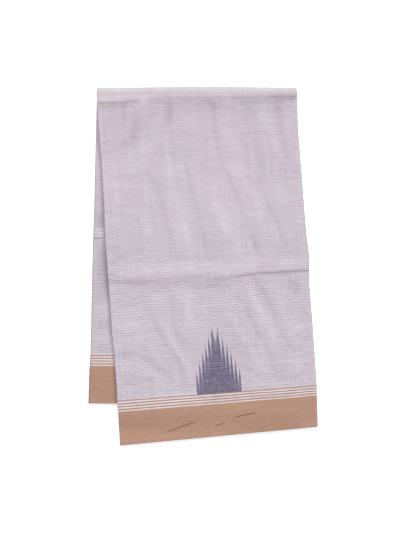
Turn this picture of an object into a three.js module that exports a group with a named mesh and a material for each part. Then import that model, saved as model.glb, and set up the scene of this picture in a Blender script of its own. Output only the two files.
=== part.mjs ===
// A handwoven cotton saree, folded for storage and laid flat, in millimetres with +Z up.
//
// The cloth is one sheet, 5.5 m long and 1.16 m from selvedge to selvedge. It is halved four times along its
// length into a strip of sixteen layers, and the strip is then folded once across, over a soft roll, so that a
// front flap lies on a shorter rear flap. The outer sheet runs from the front hem, over the front flap, round
// the roll and along the underside to the rear hem. The innermost sheet shows on the rear flap, left of the
// front flap, and on the front flap's underside where that passes the rear flap. The layers between them share
// one solid that bends round the roll, and show at its edges.
//
// A place on the strip is given by its weft distance from the front selvedge, from 0 to SAREE_WIDTH, and by its
// share of the strip's width from the left edge, from 0 to 1.
import * as THREE from "three";

// Cloth and folding
const SAREE_WIDTH = 1160; // selvedge to selvedge
const BAND = 60; // plain brown band along each selvedge
const STRIPES = 21; // white and brown lines between the band and the field
const BORDER = BAND + STRIPES;
const FLAP = 7.5; // sixteen layers, loosely pressed
const WALL = 1.2; // one sheet that shows
const GAP = 0.3; // between neighbouring sheets

// The roll where the strip folds over
const ROLL_TOP = 600; // weft distance where the front flap meets the roll
const ROLL_BOTTOM = 629; // and where the roll meets the underside
const ROLL_Y = 298.5; // the roll's axis
const ROLL_REACH = 9.5; // from the axis to the fold's edge
const ROLL_RISE = 8.8; // half the roll's height
const ROLL_SEAM = 572; // where the roll's stretch of the outer sheet begins on the front
const UNDER_SEAM = 640; // and where it ends on the underside
const SLIT_Z = FLAP - GAP / 2; // between the two flaps
const SLIT_RADIUS = WALL + 1.5 * GAP;
const CORNER_ROUND = 5; // how far the roll's right end is rounded back
const CORNER_SHARPNESS = 8; // how close to the end the rounding stays

// Edges of the two flaps as they lie. Each row is a section across the strip.
const FRONT_SECTIONS = [
  { weft: 0, leftX: -142.4, leftY: -308.1, rightX: 197.1, rightY: -275.5 },
  { weft: 60, leftX: -145.5, leftY: -251.4, rightX: 194.9, rightY: -223.3 },
  { weft: 81, leftX: -148.2, leftY: -229.0, rightX: 194.2, rightY: -205.1 },
  { weft: 200, leftX: -156.7, leftY: -114.0, rightX: 186.5, rightY: -89.0 },
  { weft: 276, leftX: -162.5, leftY: -29.5, rightX: 183.2, rightY: -5.6 },
  { weft: 350, leftX: -168.0, leftY: 44.5, rightX: 176.2, rightY: 62.0 },
  { weft: 450, leftX: -172.4, leftY: 145.0, rightX: 168.4, rightY: 156.0 },
  { weft: 540, leftX: -179.9, leftY: 237.5, rightX: 161.8, rightY: 241.5 },
  { weft: 600, leftX: -182.8, leftY: 298.5, rightX: 160.9, rightY: 298.5 },
];
const REAR_SECTIONS = [
  { weft: 629, leftX: -182.8, leftY: 298.5, rightX: 160.9, rightY: 298.5 },
  { weft: 700, leftX: -184.7, leftY: 226.5, rightX: 159.1, rightY: 226.5 },
  { weft: 800, leftX: -186.8, leftY: 125.5, rightX: 156.6, rightY: 125.5 },
  { weft: 877, leftX: -189.2, leftY: 48.8, rightX: 154.6, rightY: 48.6 },
  { weft: 960, leftX: -191.8, leftY: -33.0, rightX: 152.5, rightY: -33.4 },
  { weft: 1079, leftX: -194.4, leftY: -150.9, rightX: 149.5, rightY: -151.6 },
  { weft: 1100, leftX: -195.6, leftY: -172.3, rightX: 149.0, rightY: -173.1 },
  { weft: 1160, leftX: -197.1, leftY: -234.5, rightX: 147.4, rightY: -236.2 },
];
const REAR_HEM_Y = -235.5;

// How the front flap sinks to the ground past the rear flap's edges
const HEM_LEDGE = 8;
const HEM_FALL = 46;
const SIDE_LEDGE = 10;
const SIDE_FALL = 26;
const HEM_TAPER = 0.7; // how much the rear flap thins at its hem
const HEM_TAPER_LENGTH = 30;

// Sharp creases of the stored strip: the end points, the crest's height, and the lengths of its two flanks
const FRONT_CREASE = { fromX: -162.5, fromY: -29.5, toX: 183.2, toY: -5.6, height: 1.5, above: 24, below: 9 };
const REAR_CREASE = { fromX: -189.2, fromY: 50.5, toX: 154.6, toY: 50.5, height: 0.9, above: 15, below: 5 };
const UNDER_FRONT_FADE = { from: 14, to: 2 }; // where the rear crease dies away before the front flap's edge

// The hollow behind the roll, which lies further back near the left edge
const ROLL_HOLLOW = { leftY: 281, rightY: 291, fromX: -140, toX: -90, before: 6, behind: 7, recover: 34, depth: 0.4 };

// Soft folds of the front flap: three points of a crest or trough, its half width and its height
const FOLD_END_FULLNESS = 0.45; // share of the height that is left at a fold's ends
const SOFT_FOLDS = [
  { x1: -131, y1: 260, x2: -136, y2: 217, x3: -169, y3: 204, half: 15, height: -1.2 },
  { x1: -69, y1: 138, x2: -57, y2: 88, x3: -36, y3: 20, half: 14, height: 1.1 },
  { x1: -24, y1: 174, x2: -12, y2: 123, x3: 15, y3: 45, half: 13, height: 0.9 },
  { x1: 24, y1: 260, x2: 57, y2: 145, x3: 98, y3: 54, half: 15, height: 1.1 },
  { x1: 81, y1: 252, x2: 112, y2: 162, x3: 129, y3: 114, half: 15, height: 0.9 },
  { x1: -93, y1: -58, x2: -54, y2: -130, x3: -17, y3: -204, half: 13, height: 1.2 },
  { x1: 62, y1: -41, x2: 101, y2: -104, x3: 136, y3: -175, half: 13, height: 1.2 },
  { x1: 96, y1: -29, x2: 139, y2: -91, x3: 162, y3: -128, half: 13, height: 1.1 },
  { x1: -143, y1: -140, x2: -105, y2: -141, x3: -60, y3: -189, half: 12, height: 0.9 },
];

// The groups of layers that show at the left edge and the hems, from the innermost face outwards: the share of
// the thickness where each ends, and how far its edge stands back at the side and at the hems
const LEAF_GROUPS = [
  { top: 0.45, side: 0.6, hem: 1.4 },
  { top: 0.75, side: 1.9, hem: 2.4 },
  { top: 1.0, side: 1.2, hem: 1.0 },
];
const GROOVE = 1.6; // how far the grooves between the groups go in
const LEAF_ROUND = 0.22; // share of a group's height that its rounded corners take
const WRAP_ROUND = 2.6; // how far the smooth wrap at the right edge rounds back
const WRAP_INSET = 0.4;
const WRAP_FULL = 0.98; // share of the rounding that is drawn, so that its ends stay thin

// Where the meshes have their points
const COLUMNS = [
  0, 0.03, 0.06, 0.1, 0.16, 0.22, 0.28, 0.34, 0.4, 0.46, 0.52, 0.58, 0.64, 0.7, 0.76, 0.82, 0.865, 0.9, 0.93,
  0.955, 0.98, 1,
];
const FRONT_ROWS = [
  0, 15, 30, 45, 60, 81, 105, 135, 165, 200, 235, 258, 270, 277, 285, 302, 335, 375, 420, 465, 505, 540, 560, 572,
  580, 587, 594, 600,
];
const ROLL_STEPS = 8;
const REAR_ROWS = [629, 640, 690, 760, 830, 865, 874, 881, 890, 960, 1020, 1079, 1100, 1130, 1145, 1160];
const UNDER_COLUMNS = [0, 0.25, 0.5, 0.75, 1];

const LILAC = 0xcec4cd;
const BROWN = 0xb5907d;

// 0 up to the lower edge, 1 from the upper edge, smooth between.
function smoothStep(low, high, value) {
  const t = Math.min(Math.max((value - low) / (high - low), 0), 1);
  return t * t * (3 - 2 * t);
}

// A named column of a section table at any weft distance, on a smooth curve through the rows.
function alongSections(sections, column, weft) {
  const last = sections.length - 1;
  let k = 0;
  while (k < last - 1 && weft > sections[k + 1].weft) k += 1;
  const slope = (m) => {
    const before = sections[Math.max(m - 1, 0)];
    const after = sections[Math.min(m + 1, last)];
    return (after[column] - before[column]) / (after.weft - before.weft);
  };
  const step = sections[k + 1].weft - sections[k].weft;
  const t = (weft - sections[k].weft) / step;
  const h = t * t * (3 - 2 * t);
  return (
    sections[k][column] * (1 - h) +
    sections[k + 1][column] * h +
    step * (t * (1 - t) * (1 - t) * slope(k) - t * t * (1 - t) * slope(k + 1))
  );
}

// The same column at a given y, for finding how far a point lies from a flap's edge.
function edgeAtY(sections, xColumn, yColumn, y) {
  const rows = [...sections].sort((a, b) => a[yColumn] - b[yColumn]);
  if (y <= rows[0][yColumn]) return rows[0][xColumn];
  for (let k = 0; k < rows.length - 1; k += 1) {
    if (y <= rows[k + 1][yColumn]) {
      const t = (y - rows[k][yColumn]) / (rows[k + 1][yColumn] - rows[k][yColumn]);
      return THREE.MathUtils.lerp(rows[k][xColumn], rows[k + 1][xColumn], t);
    }
  }
  return rows[rows.length - 1][xColumn];
}

// Where the strip lies in plan: a weft distance and a share of the width.
function planPoint(weft, share) {
  const sections = weft <= ROLL_TOP ? FRONT_SECTIONS : REAR_SECTIONS;
  const at = weft <= ROLL_TOP ? weft : Math.max(weft, ROLL_BOTTOM);
  const [leftX, leftY, rightX, rightY] = ["leftX", "leftY", "rightX", "rightY"].map((column) =>
    alongSections(sections, column, at),
  );
  return new THREE.Vector2(leftX, leftY).lerp(new THREE.Vector2(rightX, rightY), share);
}

// Distance from a point to a line of two straight stretches, and the share of its length that the nearest
// place lies at.
function nearestOnFold(fold, x, y) {
  const corners = [1, 2, 3].map((n) => [fold[`x${n}`], fold[`y${n}`]]);
  let best = { distance: Infinity, share: 0 };
  for (let k = 0; k < 2; k += 1) {
    const [ax, ay] = corners[k];
    const [bx, by] = corners[k + 1];
    const length = Math.hypot(bx - ax, by - ay);
    const t = Math.min(Math.max(((x - ax) * (bx - ax) + (y - ay) * (by - ay)) / length ** 2, 0), 1);
    const distance = Math.hypot(x - ax - t * (bx - ax), y - ay - t * (by - ay));
    if (distance < best.distance) best = { distance, share: (k + t) / 2 };
  }
  return best;
}

function softFoldHeight(fold, x, y) {
  const { distance, share } = nearestOnFold(fold, x, y);
  const fullness = THREE.MathUtils.lerp(FOLD_END_FULLNESS, 1, Math.sin(Math.PI * share));
  return fold.height * fullness * Math.exp(-((distance / fold.half) ** 2));
}

// A crease that rises gently on its upper flank and drops quickly on its lower one.
function creaseHeight(crease, x, y) {
  const t = (x - crease.fromX) / (crease.toX - crease.fromX);
  const above = y - THREE.MathUtils.lerp(crease.fromY, crease.toY, t);
  return above >= 0
    ? crease.height * (1 - smoothStep(0, crease.above, above))
    : crease.height * (1 - smoothStep(0, crease.below, -above));
}

// The roll stands proud of the flap, then drops into a shallow hollow behind it.
function rollHeight(x, y) {
  const proud = 2 * ROLL_RISE - 2 * FLAP;
  const hollowY = THREE.MathUtils.lerp(
    ROLL_HOLLOW.leftY,
    ROLL_HOLLOW.rightY,
    smoothStep(ROLL_HOLLOW.fromX, ROLL_HOLLOW.toX, x),
  );
  const crest = Math.min(hollowY + ROLL_HOLLOW.before, ROLL_Y);
  const bottom = hollowY - ROLL_HOLLOW.behind;
  const fall = smoothStep(0, crest - bottom, crest - y);
  const back = smoothStep(0, ROLL_HOLLOW.recover, bottom - y);
  return proud * (1 - fall) - ROLL_HOLLOW.depth * fall * (1 - back);
}

function frontRelief(x, y) {
  const folds = SOFT_FOLDS.reduce((sum, fold) => sum + softFoldHeight(fold, x, y), 0);
  return folds + creaseHeight(FRONT_CREASE, x, y) + rollHeight(x, y);
}

// What the front flap lies on: the rear flap, and past its edges the ground.
function supportHeight(x, y) {
  const pastSide = x - edgeAtY(REAR_SECTIONS, "rightX", "rightY", y);
  const pastHem = REAR_HEM_Y - y;
  const side = 1 - smoothStep(SIDE_LEDGE, SIDE_LEDGE + SIDE_FALL, pastSide);
  const hem = 1 - smoothStep(HEM_LEDGE, HEM_LEDGE + HEM_FALL, pastHem);
  return FLAP * side * hem;
}

// Top face of the rear flap, with its crease where the front flap doesn't cover it.
function rearTopHeight(x, y) {
  const toHem = y - REAR_HEM_Y;
  const taper = HEM_TAPER * (1 - smoothStep(0, HEM_TAPER_LENGTH, toHem));
  const frontEdge = edgeAtY(FRONT_SECTIONS, "leftX", "leftY", y);
  const open = smoothStep(UNDER_FRONT_FADE.to, UNDER_FRONT_FADE.from, frontEdge - x);
  return FLAP - GAP - taper + open * creaseHeight(REAR_CREASE, x, y);
}

// Height of the innermost sheet at a depth under its face: the face is the front flap's underside or the rear
// flap's top, and the depth goes into the flap.
function innermostHeight(weft, plan, depth) {
  return weft <= ROLL_TOP ? supportHeight(plan.x, plan.y) + depth : rearTopHeight(plan.x, plan.y) - depth;
}

// Angle round the roll, from a quarter turn up at the front to a quarter turn down at the underside.
function rollAngle(weft) {
  return Math.PI * (0.5 - (weft - ROLL_TOP) / (ROLL_BOTTOM - ROLL_TOP));
}

function isOnRoll(weft) {
  return weft > ROLL_TOP && weft < ROLL_BOTTOM;
}

// A point at a depth under the cloth's outer face.
function outerPoint(weft, share, depth) {
  const plan = planPoint(weft, share);
  if (isOnRoll(weft)) {
    const angle = rollAngle(weft);
    const cornerBack = CORNER_ROUND * Math.cos(angle) ** 2 * share ** CORNER_SHARPNESS;
    return new THREE.Vector3(
      plan.x - cornerBack,
      ROLL_Y + (ROLL_REACH - depth) * Math.cos(angle),
      ROLL_RISE + (ROLL_RISE - depth) * Math.sin(angle),
    );
  }
  if (weft <= ROLL_TOP) {
    const top = supportHeight(plan.x, plan.y) + FLAP + frontRelief(plan.x, plan.y);
    return new THREE.Vector3(plan.x, plan.y, top - depth);
  }
  return new THREE.Vector3(plan.x, plan.y, depth);
}

// A point on the inner face of the layers, towards the slit that holds the innermost sheet.
function slitPoint(weft, share) {
  const plan = planPoint(weft, share);
  if (isOnRoll(weft)) {
    const angle = rollAngle(weft);
    return new THREE.Vector3(
      plan.x - CORNER_ROUND * Math.cos(angle) ** 2 * share ** CORNER_SHARPNESS,
      ROLL_Y + SLIT_RADIUS * Math.cos(angle),
      SLIT_Z + SLIT_RADIUS * Math.sin(angle),
    );
  }
  return new THREE.Vector3(plan.x, plan.y, innermostHeight(weft, plan, WALL + GAP));
}

// A closed body through a stack of surfaces over the same rows and columns. The first and last surfaces are
// its two faces, and the ones between them shape its edge.
function closedStack(rowCount, columnCount, surfaces) {
  const positions = [];
  const triangle = (a, b, c) => positions.push(...a.toArray(), ...b.toArray(), ...c.toArray());
  const quad = (a, b, c, d) => {
    triangle(a, b, c);
    triangle(a, c, d);
  };
  const face = (surface, flip) => {
    for (let j = 0; j < rowCount - 1; j += 1) {
      for (let i = 0; i < columnCount - 1; i += 1) {
        const [near, far] = [surface(j, i), surface(j + 1, i + 1)];
        const [beside, ahead] = [surface(j, i + 1), surface(j + 1, i)];
        if (flip) quad(near, ahead, far, beside);
        else quad(near, beside, far, ahead);
      }
    }
  };
  const loop = [];
  for (let i = 0; i < columnCount - 1; i += 1) loop.push([0, i]);
  for (let j = 0; j < rowCount - 1; j += 1) loop.push([j, columnCount - 1]);
  for (let i = columnCount - 1; i > 0; i -= 1) loop.push([rowCount - 1, i]);
  for (let j = rowCount - 1; j > 0; j -= 1) loop.push([j, 0]);
  const lastSurface = surfaces.length - 1;
  face(surfaces[0], true);
  face(surfaces[lastSurface], false);
  for (let k = 0; k < lastSurface; k += 1) {
    loop.forEach(([j, i], n) => {
      const [nextJ, nextI] = loop[(n + 1) % loop.length];
      quad(surfaces[k](j, i), surfaces[k](nextJ, nextI), surfaces[k + 1](nextJ, nextI), surfaces[k + 1](j, i));
    });
  }
  const geometry = new THREE.BufferGeometry();
  geometry.setAttribute("position", new THREE.Float32BufferAttribute(positions, 3));
  geometry.computeVertexNormals();
  return geometry;
}

// The rows from one weft distance to another, with each end drawn back by half a seam.
function rowsBetween(rows, from, to) {
  const inside = rows.filter((weft) => weft > from && weft < to);
  return [from + GAP / 2, ...inside, to - GAP / 2];
}

function clothMesh(name, geometry, color) {
  const mesh = new THREE.Mesh(geometry, new THREE.MeshStandardMaterial({ color, roughness: 0.9, metalness: 0 }));
  mesh.name = name;
  return mesh;
}

const ROLL_ROWS = Array.from(
  { length: ROLL_STEPS - 1 },
  (_, k) => ROLL_TOP + ((k + 1) * (ROLL_BOTTOM - ROLL_TOP)) / ROLL_STEPS,
);
const ALL_ROWS = [...FRONT_ROWS, ...ROLL_ROWS, ...REAR_ROWS];

// A stretch of the outer sheet, one wall thick.
function outerStretch(name, from, to, color, columns = COLUMNS) {
  const rows = rowsBetween(ALL_ROWS, from, to);
  const inner = (j, i) => outerPoint(rows[j], columns[i], WALL);
  const outer = (j, i) => outerPoint(rows[j], columns[i], 0);
  return clothMesh(name, closedStack(rows.length, columns.length, [inner, outer]), color);
}

// A stretch of the innermost sheet, where the two flaps face each other.
function innermostStretch(name, from, to, color) {
  const rows = rowsBetween(ALL_ROWS, from, to);
  const faces = [0, WALL].map((depth) => (j, i) => {
    const plan = planPoint(rows[j], COLUMNS[i]);
    return new THREE.Vector3(plan.x, plan.y, innermostHeight(rows[j], plan, depth));
  });
  return clothMesh(name, closedStack(rows.length, COLUMNS.length, faces), color);
}

// The levels of the layers' edge: the share of the thickness, and how far the edge stands back at the left
// side, at the smooth wrap on the right, and at the hems.
function edgeLevels() {
  const levels = [];
  const level = (share, side, hem) => {
    const fromMiddle = Math.abs(2 * share - 1);
    const wrap = WRAP_INSET + WRAP_ROUND * (1 - Math.sqrt(1 - Math.min(fromMiddle, WRAP_FULL) ** 2));
    levels.push({ share, side, wrap, hem });
  };
  let bottom = 0;
  for (const group of LEAF_GROUPS) {
    const corner = LEAF_ROUND * (group.top - bottom);
    level(bottom, group.side + GROOVE, group.hem + GROOVE);
    level(bottom + corner, group.side, group.hem);
    level(group.top - corner, group.side, group.hem);
    bottom = group.top;
  }
  const outermost = LEAF_GROUPS[LEAF_GROUPS.length - 1];
  level(1, outermost.side + GROOVE, outermost.hem + GROOVE);
  return levels;
}

// The hidden layers, as one body from the front hem round the roll to the rear hem.
function foldedLayers() {
  const rows = ALL_ROWS;
  const lastRow = rows.length - 1;
  const surfaces = edgeLevels().map((level) => (j, i) => {
    const hem = { 0: level.hem, [lastRow]: -level.hem }[j] ?? 0;
    const weft = rows[j] + hem;
    const width = planPoint(weft, 0).distanceTo(planPoint(weft, 1));
    const share = Math.min(Math.max(COLUMNS[i], level.side / width), 1 - level.wrap / width);
    return slitPoint(weft, share).lerp(outerPoint(weft, share, WALL + GAP), level.share);
  });
  return clothMesh("folded_layers", closedStack(rows.length, COLUMNS.length, surfaces), LILAC);
}

const saree = new THREE.Group();
saree.name = "saree";
saree.add(
  outerStretch("front_border", 0, BORDER, BROWN),
  outerStretch("front_field", BORDER, ROLL_SEAM, LILAC),
  outerStretch("top_fold", ROLL_SEAM, UNDER_SEAM, LILAC),
  outerStretch("underside_field", UNDER_SEAM, SAREE_WIDTH - BORDER, LILAC, UNDER_COLUMNS),
  outerStretch("underside_border", SAREE_WIDTH - BORDER, SAREE_WIDTH, BROWN, UNDER_COLUMNS),
  innermostStretch("front_inner_border", 0, BORDER, BROWN),
  innermostStretch("front_inner_field", BORDER, ROLL_SEAM, LILAC),
  innermostStretch("rear_field", UNDER_SEAM, SAREE_WIDTH - BORDER, LILAC),
  innermostStretch("rear_border", SAREE_WIDTH - BORDER, SAREE_WIDTH, BROWN),
  foldedLayers(),
);

export default saree;
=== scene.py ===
"""A handwoven cotton saree, folded for storage and laid flat, dressed in Blender.

The saree is halved four times along its length into a strip of sixteen layers, and the strip is folded once
across over a soft roll. Every sheet is placed by its distance along the width of the cloth from the front
selvedge, its distance from the strip's left edge, and its depth in the flap. Lengths in the tables are in
millimetres, and the finished meshes are in metres.
"""

import bmesh
import bpy
import numpy as np
from bpy.props import FloatProperty, FloatVectorProperty, PointerProperty
from mathutils import Color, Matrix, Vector, noise


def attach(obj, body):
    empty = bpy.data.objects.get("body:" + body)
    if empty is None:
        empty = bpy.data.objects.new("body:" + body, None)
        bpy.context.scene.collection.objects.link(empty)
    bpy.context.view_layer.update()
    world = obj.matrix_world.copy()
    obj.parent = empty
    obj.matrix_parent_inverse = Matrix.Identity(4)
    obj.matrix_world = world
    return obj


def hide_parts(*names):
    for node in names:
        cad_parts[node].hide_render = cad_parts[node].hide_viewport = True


bl_info = {
    "name": "Folded saree",
    "version": (1, 0, 0),
    "blender": (4, 5, 0),
    "location": "3D View > Sidebar > Saree",
    "description": "A folded handwoven cotton saree with its cloth, layers and studio stage",
    "category": "Add Mesh",
}

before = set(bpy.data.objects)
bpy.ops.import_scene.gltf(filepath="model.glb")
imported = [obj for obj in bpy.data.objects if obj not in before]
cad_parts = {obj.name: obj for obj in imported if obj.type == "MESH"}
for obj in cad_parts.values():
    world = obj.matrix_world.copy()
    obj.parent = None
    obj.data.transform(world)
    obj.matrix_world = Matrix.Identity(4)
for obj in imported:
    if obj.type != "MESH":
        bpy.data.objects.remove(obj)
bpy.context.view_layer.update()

MM = 0.001
SAREE_WIDTH = 1160.0  # selvedge to selvedge

# Places along the cloth's width where the front flap, the roll and the rear flap meet
ROLL_TOP = 600.0
ROLL_BOTTOM = 629.0
FLAP = 7.5
SLIT = 0.3  # between the two flaps
ROLL_Y = 298.5
ROLL_REACH = 9.5
ROLL_RISE = 8.8
CORNER_ROUND = 0.75
CORNER_SHARPNESS = 8
ROLL_CROWN = 1.5  # how much fuller the roll is near its middle
CROWN_PLACE = 0.54
CROWN_HALF = 0.25
STRIP_WIDTH = 344.0

# Edges of the two flaps as they lie: place along the width, left x and y, right x and y
SECTION_COLUMNS = ("weft", "left_x", "left_y", "right_x", "right_y")
FRONT_SECTIONS = (
    (0, -143.2, -308.6, 197.9, -276.1),
    (60, -146.0, -251.4, 196.5, -223.0),
    (81, -147.4, -230.1, 195.9, -203.9),
    (135, -150.7, -177.9, 192.6, -152.5),
    (200, -156.7, -114.0, 188.2, -89.0),
    (250, -160.5, -58.3, 183.6, -33.6),
    (276, -162.5, -29.5, 183.2, -5.6),
    (298, -164.2, -6.9, 183.1, 15.4),
    (350, -168.0, 44.5, 177.6, 62.0),
    (450, -172.4, 145.0, 169.9, 156.0),
    (540, -179.9, 237.5, 163.3, 241.5),
    (600, -182.8, 298.5, 162.2, 298.5),
)
REAR_SECTIONS = (
    (629, -182.8, 298.5, 162.2, 298.5),
    (700, -185.0, 226.5, 159.1, 226.5),
    (800, -187.3, 125.5, 156.6, 125.5),
    (877, -189.7, 48.8, 154.6, 48.6),
    (960, -191.8, -33.0, 152.5, -33.4),
    (1079, -194.4, -152.2, 149.5, -153.0),
    (1100, -196.0, -172.6, 149.0, -173.4),
    (1160, -198.0, -236.3, 147.4, -238.0),
)
REAR_HEM_Y = -237.2

# How the front flap sinks to the ground past the rear flap's edges
HEM_LEDGE = 8.0
HEM_FALL = 46.0
SIDE_LEDGE = 10.0
SIDE_FALL = 26.0
HEM_TAPER = 0.7
HEM_TAPER_LENGTH = 30.0

# Sharp storage creases: along the crest, its x and y, its height, and the length of the steep flank below it
FRONT_CREST = (
    (-163, -20.5, 1.0, 7.0),
    (-140, -20.5, 1.0, 8.0),
    (-118, -18.5, 1.1, 13.0),
    (-95, -16.0, 1.2, 17.0),
    (-46, -14.5, 1.3, 18.0),
    (0, -14.5, 1.3, 16.0),
    (25, -15.5, 1.3, 13.0),
    (55, -13.0, 1.4, 8.5),
    (89, -8.9, 1.2, 6.5),
    (150, -6.2, 1.2, 5.5),
    (183, -4.4, 1.4, 5.0),
)
REAR_CREST = ((-190, 50.0, 1.2, 3.4), (155, 50.0, 1.2, 3.4))
FRONT_FLANKS = {"above": 24.0, "dip": 0.55, "recover": 22.0}
REAR_FLANKS = {"above": 13.0, "dip": 0.3, "recover": 14.0}
CREST_WANDER = 0.9
CREST_UNEVEN = 0.4
COVERED_FADE = (1.0, 7.0)  # where the rear crease dies away before the front flap's edge

# The slope behind the roll, along it: x, and the y of its upper and lower end
ROLL_SLOPE = (
    (-183, 283.5, 266.0),
    (-140, 284.5, 265.0),
    (-120, 288.0, 262.0),
    (-95, 293.0, 256.0),
    (-60, 294.5, 260.0),
    (0, 294.5, 262.0),
    (70, 295.0, 264.0),
    (115, 295.0, 270.0),
    (161, 295.5, 277.0),
)
ROLL_SLOPE_POWER = 2.3  # how much steeper the slope starts than it ends
ROLL_SLOPE_EASE = 0.22
HOLLOW_RECOVER = 34.0
HOLLOW_DEPTH = 0.4

# Soft troughs and ridges of the front flap: half width, height, and x and y of each point on its way. Their
# heights also paint shade into the colour, darker in troughs and lighter on ridges
FOLD_END_FULLNESS = 0.45
FRONT_FOLDS = (
    (8, -1, -112, 262, -117, 238, -119, 221), (5, -0.7, -121, 216, -139, 205, -158, 195),
    (7, -0.9, -66, 288, -60, 272, -60, 252, -66, 231), (10, 0.9, -103, 205, -93, 193),
    (5.5, -0.9, -93, 155, -83, 140, -75, 116, -66, 81, -57, 43, -46, 10),
    (7, 0.9, -62, 183, -53, 140, -45, 102, -36, 69, -26, 49), (8, 0.5, -38, 66, -26, 49),
    (5, -0.65, -34, 181, -23, 138, -11, 95, -4, 57, 1, 23), (4.5, -0.3, -14, 83, -5, 54, 2, 28),
    (4, 0.5, -169, 136, -146, 135, -124, 138), (5, 0.4, -169, 166, -139, 169),
    (7, -0.7, -98, 30, -119, 21, -139, 14), (6, -0.4, -143, 93, -131, 69),
    (7, -0.9, 2, 288, 14, 274, 19, 259),
    (4.5, -0.75, 19, 252, 22, 217, 27, 183, 43, 149, 57, 118, 69, 90, 81, 59),
    (6, -1, 82, 52, 88, 33, 93, 14), (9, -0.9, 76, 279, 77, 245, 89, 204, 100, 173, 100, 145),
    (6, -0.4, 100, 176, 100, 159), (4.5, -0.75, 101, 131, 112, 102, 125, 80, 134, 52, 151, 16),
    (7, -0.8, 124, 286, 129, 255, 136, 217, 146, 183, 162, 150),
    (5.5, 0.5, 100, 259, 112, 235, 124, 207, 134, 183), (10, 0.7, 41, 252, 46, 209, 53, 173, 70, 138),
    (6, 0.6, 70, 138, 84, 121, 94, 93, 105, 59, 112, 35), (12, 0.8, 15, 131, 24, 93, 39, 59),
    (7, -0.5, -4, 45, 15, 33, 43, 35), (7, 0.5, 143, 114, 153, 88), (5, 0.4, 144, 248, 149, 217),
    (3, -0.5, -165, -17, -157, -17, -146, -18), (4, 0.7, -119, 264, -100, 285, -88, 293),
    (4.8, -0.95, -103, -63, -93, -82, -81, -106, -72, -123, -60, -141, -48, -158, -40, -177,
     -33, -197, -33, -218),
    (4.5, -0.9, -62, -37, -55, -60, -52, -82, -52, -103),
    (4.1, -0.6, -52, -103, -47, -116, -35, -133, -23, -149),
    (4.1, -1.1, -158, -156, -134, -152, -112, -154, -98, -161),
    (5.8, -0.9, -102, -158, -88, -170, -74, -182, -60, -193),
    (4.5, -0.7, -150, -209, -129, -204, -112, -199, -95, -196, -81, -204),
    (3.1, -0.5, -78, -145, -64, -169, -53, -195, -50, -219), (3.1, -0.4, -157, -66, -136, -64, -114, -66),
    (8.6, -0.5, -150, -48, -122, -41, -91, -51), (11.2, 1.2, -29, -42, -26, -71, -23, -100, -24, -121),
    (7.7, 0.6, -84, -40, -79, -61, -76, -85), (12, 0.4, -146, -101, -112, -114),
    (4.1, 0.8, -109, -127, -91, -139, -78, -156, -64, -175),
    (3.8, 1, -74, -90, -62, -116, -48, -140, -35, -161, -26, -180, -23, -204),
    (10.3, 0.5, -153, -179, -115, -176), (7.7, 0.4, -88, -211, -67, -207),
    (5.2, 0.3, -150, -136, -115, -134),
    (4.8, -1.05, 60, -53, 67, -65, 76, -79, 84, -98, 93, -115, 101, -128, 112, -146, 119, -163, 122, -182),
    (4.8, -1.05, 84, -19, 91, -27, 101, -43, 112, -65, 120, -86, 127, -103, 134, -117),
    (4.8, -0.8, 137, -120, 146, -135, 156, -144, 172, -137, 182, -125), (6.2, -0.9, 160, -28, 162, -48),
    (4.5, -0.4, 151, -56, 155, -91), (4.8, -0.9, 58, -170, 72, -178, 86, -180),
    (9.5, -0.4, 50, -134, 67, -158), (4.5, -0.6, 122, -196, 141, -194, 162, -192, 175, -180, 187, -166),
    (6.2, -0.5, 5, -38, 33, -33, 60, -28), (7.7, -0.4, 33, -47, 53, -56),
    (4.5, 1, 76, -36, 84, -53, 94, -73, 105, -96, 115, -116, 125, -139),
    (5.8, 0.8, 117, -31, 127, -55, 136, -79, 143, -100),
    (6.2, 0.8, 39, -79, 57, -102, 72, -129, 86, -152, 101, -176), (5.5, 0.6, 148, -117, 175, -107),
    (6, 0.35, 132, -172, 158, -165), (6, 0.3, 84, -200, 141, -208), (8.6, -0.4, -10, -139, -4, -158),
    (3.8, -0.6, -66, 264, -60, 230, -57, 196, -53, 168), (12, 0.8, -36, 62, -29, 38, -23, 11),
    (10.3, 0.5, 15, 118, 29, 87, 43, 56), (12, -0.5, -170, 262, -153, 227, -139, 200),
    (6.2, -0.4, 67, 219, 81, 171), (5.2, -0.7, 82, 51, 93, 27), (12, 0.5, -172, 183, -164, 148, -167, 107),
    (2.2, -0.45, -169, -15, -157, -17, -145, -20), (2.6, -0.5, -95, -27, -74, -34, -57, -37),
    (2.2, -0.4, -88, -25, -40, -20, 15, -18), (3, -0.4, -47, -34, -9, -39, 29, -36),
    (2.4, -0.35, -136, -32, -115, -36, -98, -32),
)
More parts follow.
